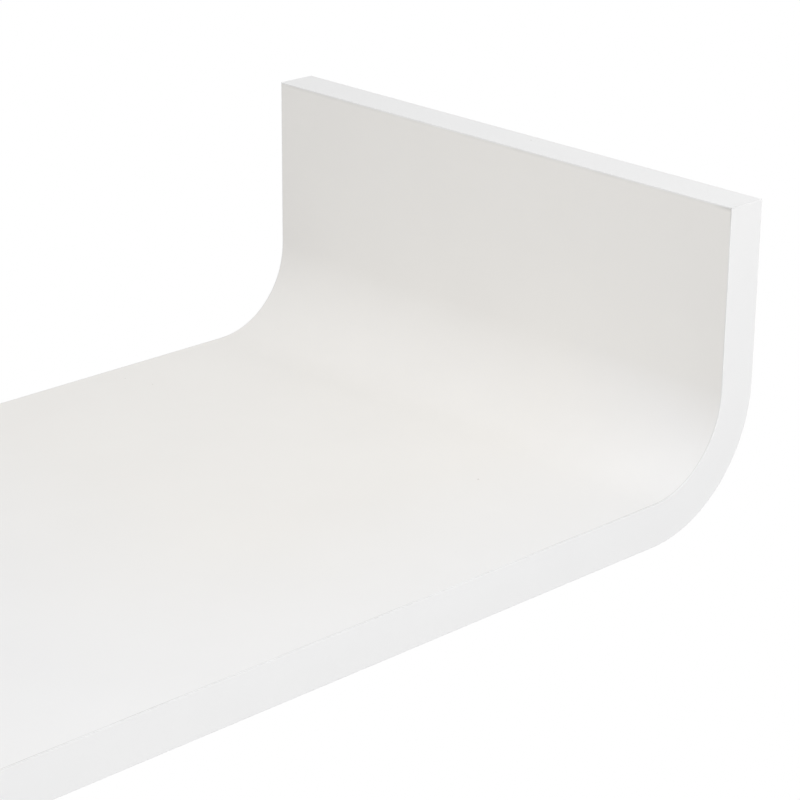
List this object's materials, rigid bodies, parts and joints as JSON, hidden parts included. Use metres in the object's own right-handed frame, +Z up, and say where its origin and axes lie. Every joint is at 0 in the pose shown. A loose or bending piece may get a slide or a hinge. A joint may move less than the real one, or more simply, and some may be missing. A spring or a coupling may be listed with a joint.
{
  "type": "floating wall shelf",
  "caption": "White wall shelf whose flat deck sweeps up through rounded bends into low upright ends, hung by keyhole plates hidden in its rear edges.",
  "frame": {"origin": "middle of the deck's rear edge, at half the board's thickness, on the wall plane", "axes": "+X along the wall to the right as seen from the room, +Y into the wall, +Z up"},
  "size_m": [0.6, 0.2703, 0.115],
  "materials": {
    "face_sheet": "satin off-white decorative laminate",
    "edge_band": "satin cool-white plastic edge band",
    "core_board": "raw medium-density fibreboard",
    "bend_ply": "raw moulded plywood",
    "tongue_ply": "raw birch plywood",
    "plate_steel": "zinc-plated pressed steel",
    "screw_steel": "zinc-plated steel",
    "plug_nylon": "grey moulded nylon"
  },
  "bodies": {
    "wall_fixings": {"left_wall_screw": "screw_steel", "right_wall_screw": "screw_steel", "left_wall_plug": "plug_nylon", "right_wall_plug": "plug_nylon"},
    "shelf": {"deck_core": "core_board", "left_bend_core": "bend_ply", "right_bend_core": "bend_ply", "left_upright_core": "core_board", "right_upright_core": "core_board", "left_deck_tongue": "tongue_ply", "right_deck_tongue": "tongue_ply", "left_upright_tongue": "tongue_ply", "right_upright_tongue": "tongue_ply", "inner_face_sheet": "face_sheet", "outer_face_sheet": "face_sheet", "front_edge_band": "edge_band", "rear_edge_band": "edge_band", "left_top_edge_band": "edge_band", "right_top_edge_band": "edge_band", "left_keyhole_plate": "plate_steel", "right_keyhole_plate": "plate_steel", "left_plate_screws": "screw_steel", "right_plate_screws": "screw_steel"}
  },
  "joints": [
    {"name": "lift_off", "type": "slide", "parent": "wall_fixings", "child": "shelf", "axis": [0, 0, 1], "range_m": [0, 0.01]}
  ]
}
